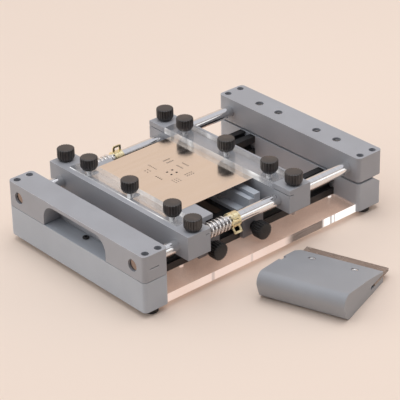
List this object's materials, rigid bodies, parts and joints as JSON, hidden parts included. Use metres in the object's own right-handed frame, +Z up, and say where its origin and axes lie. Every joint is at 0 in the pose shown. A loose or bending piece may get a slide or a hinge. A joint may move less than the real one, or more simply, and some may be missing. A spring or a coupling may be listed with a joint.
{
  "type": "tabletop screen printing press",
  "caption": "Small bench press with a hinged frame that holds a steel stencil over a board clamped between jaws on slotted rails, with a loose hand squeegee.",
  "frame": {"origin": "middle of the base plate's flat underside", "axes": "+X to the right seen from the front, +Y from the finger arch to the hinges, +Z up"},
  "size_m": [0.3041, 0.28, 0.0735],
  "materials": {
    "painted_grey": "fine matt grey powder coat",
    "black_bar": "black anodised satin",
    "clear_plate": "clear acrylic with polished edges",
    "clear_bar": "clear acrylic with polished edges",
    "rod_chrome": "ground and chromed",
    "foil_steel": "bright rolled steel",
    "bright_steel": "bright zinc plated",
    "black_steel": "blackened",
    "spring_steel": "bright drawn wire",
    "clip_zinc": "yellow zinc plated",
    "knob_black": "black moulded",
    "foot_rubber": "matt",
    "blade_amber": "amber brown polyurethane"
  },
  "bodies": {
    "base": {"base_plate": "clear_plate", "front_lower_block": "painted_grey", "rear_lower_block": "painted_grey", "left_rail": "black_bar", "right_rail": "black_bar", "rail_nuts": "bright_steel", "plate_screws": "bright_steel", "feet": "foot_rubber", "front_seat_screw": "bright_steel", "hinge_lower_leaves": "bright_steel", "hinge_lower_screws": "bright_steel", "hinge_pins": "bright_steel"},
    "rear_holder": {"rear_cross_bar": "black_bar", "rear_jaw": "painted_grey", "rear_brackets": "painted_grey", "rear_bracket_screws": "bright_steel", "rear_holder_bolts": "bright_steel"},
    "front_holder": {"front_cross_bar": "black_bar", "front_jaw": "painted_grey", "front_brackets": "painted_grey", "front_bracket_screws": "bright_steel", "front_holder_bolts": "bright_steel"},
    "frame": {"front_upper_block": "painted_grey", "rear_upper_block": "painted_grey", "left_rod": "rod_chrome", "right_rod": "rod_chrome", "corner_screws": "black_steel", "hinge_upper_leaves": "bright_steel", "hinge_bolts": "bright_steel", "left_clip": "clip_zinc", "right_clip": "clip_zinc", "left_spring": "spring_steel", "right_spring": "spring_steel"},
    "front_carriage": {"front_carriage": "painted_grey", "front_clamp_bar": "clear_bar", "front_studs": "bright_steel", "front_washers": "bright_steel"},
    "rear_carriage": {"rear_carriage": "painted_grey", "rear_clamp_bar": "clear_bar", "rear_studs": "bright_steel", "rear_washers": "bright_steel", "stencil": "foil_steel"},
    "squeegee": {"squeegee_handle": "painted_grey", "squeegee_blade": "blade_amber", "squeegee_screws": "bright_steel"},
    "front_left_end_knob": {"front_left_end_knob": "knob_black"},
    "front_left_knob": {"front_left_knob": "knob_black"},
    "front_middle_knob": {"front_middle_knob": "knob_black"},
    "front_right_knob": {"front_right_knob": "knob_black"},
    "front_right_end_knob": {"front_right_end_knob": "knob_black"},
    "rear_left_end_knob": {"rear_left_end_knob": "knob_black"},
    "rear_left_knob": {"rear_left_knob": "knob_black"},
    "rear_middle_knob": {"rear_middle_knob": "knob_black"},
    "rear_right_knob": {"rear_right_knob": "knob_black"},
    "rear_right_end_knob": {"rear_right_end_knob": "knob_black"},
    "rear_right_side_knob": {"rear_right_side_knob": "knob_black"},
    "rear_left_side_knob": {"rear_left_side_knob": "knob_black"},
    "front_right_side_knob": {"front_right_side_knob": "knob_black"},
    "front_left_side_knob": {"front_left_side_knob": "knob_black"}
  },
  "joints": [
    {"name": "frame_lift", "type": "hinge", "parent": "base", "child": "frame", "pos_m": [0, 0.1376, 0.0295], "axis": [-1, 0, 0], "range_deg": [0, 100]},
    {"name": "front_carriage_slide", "type": "slide", "parent": "frame", "child": "front_carriage", "axis": [0, 1, 0], "range_m": [-0.01, 0.004], "deforming": ["left_spring", "right_spring"]},
    {"name": "rear_carriage_slide", "type": "slide", "parent": "frame", "child": "rear_carriage", "axis": [0, 1, 0], "range_m": [-0.002, 0.055]},
    {"name": "rear_holder_slide", "type": "slide", "parent": "base", "child": "rear_holder", "axis": [0, 1, 0], "range_m": [-0.01, 0.0025]},
    {"name": "front_holder_slide", "type": "slide", "parent": "base", "child": "front_holder", "axis": [0, 1, 0], "range_m": [-0.003, 0.006]},
    {"name": "front_left_end_knob_turn", "type": "hinge", "parent": "front_carriage", "child": "front_left_end_knob", "pos_m": [-0.086, -0.0801, 0.0558], "axis": [0, 0, 1], "range_deg": [-360, 360]},
    {"name": "front_left_knob_turn", "type": "hinge", "parent": "front_carriage", "child": "front_left_knob", "pos_m": [-0.0565, -0.07705, 0.0569], "axis": [0, 0, 1], "range_deg": [-360, 360]},
    {"name": "front_middle_knob_turn", "type": "hinge", "parent": "front_carriage", "child": "front_middle_knob", "pos_m": [0, -0.07705, 0.0569], "axis": [0, 0, 1], "range_deg": [-360, 360]},
    {"name": "front_right_knob_turn", "type": "hinge", "parent": "front_carriage", "child": "front_right_knob", "pos_m": [0.0565, -0.07705, 0.0569], "axis": [0, 0, 1], "range_deg": [-360, 360]},
    {"name": "front_right_end_knob_turn", "type": "hinge", "parent": "front_carriage", "child": "front_right_end_knob", "pos_m": [0.086, -0.0801, 0.0558], "axis": [0, 0, 1], "range_deg": [-360, 360]},
    {"name": "rear_left_end_knob_turn", "type": "hinge", "parent": "rear_carriage", "child": "rear_left_end_knob", "pos_m": [-0.086, 0.0364, 0.0558], "axis": [0, 0, 1], "range_deg": [-360, 360]},
    {"name": "rear_left_knob_turn", "type": "hinge", "parent": "rear_carriage", "child": "rear_left_knob", "pos_m": [-0.0565, 0.03515, 0.0569], "axis": [0, 0, 1], "range_deg": [-360, 360]},
    {"name": "rear_middle_knob_turn", "type": "hinge", "parent": "rear_carriage", "child": "rear_middle_knob", "pos_m": [0, 0.03515, 0.0569], "axis": [0, 0, 1], "range_deg": [-360, 360]},
    {"name": "rear_right_knob_turn", "type": "hinge", "parent": "rear_carriage", "child": "rear_right_knob", "pos_m": [0.0565, 0.03515, 0.0569], "axis": [0, 0, 1], "range_deg": [-360, 360]},
    {"name": "rear_right_end_knob_turn", "type": "hinge", "parent": "rear_carriage", "child": "rear_right_end_knob", "pos_m": [0.086, 0.0364, 0.0558], "axis": [0, 0, 1], "range_deg": [-360, 360]},
    {"name": "rear_right_side_knob_turn", "type": "hinge", "parent": "rear_holder", "child": "rear_right_side_knob", "pos_m": [0.0676, 0.0055, 0.018], "axis": [1, 0, 0], "range_deg": [-360, 360]},
    {"name": "rear_left_side_knob_turn", "type": "hinge", "parent": "rear_holder", "child": "rear_left_side_knob", "pos_m": [-0.0676, 0.0055, 0.018], "axis": [-1, 0, 0], "range_deg": [-360, 360]},
    {"name": "front_right_side_knob_turn", "type": "hinge", "parent": "front_holder", "child": "front_right_side_knob", "pos_m": [0.0676, -0.046, 0.018], "axis": [1, 0, 0], "range_deg": [-360, 360]},
    {"name": "front_left_side_knob_turn", "type": "hinge", "parent": "front_holder", "child": "front_left_side_knob", "pos_m": [-0.0676, -0.046, 0.018], "axis": [-1, 0, 0], "range_deg": [-360, 360]},
    {"name": "squeegee_lift", "type": "slide", "parent": "base", "child": "squeegee", "axis": [0, 0, 1], "range_m": [0, 0.1]}
  ]
}
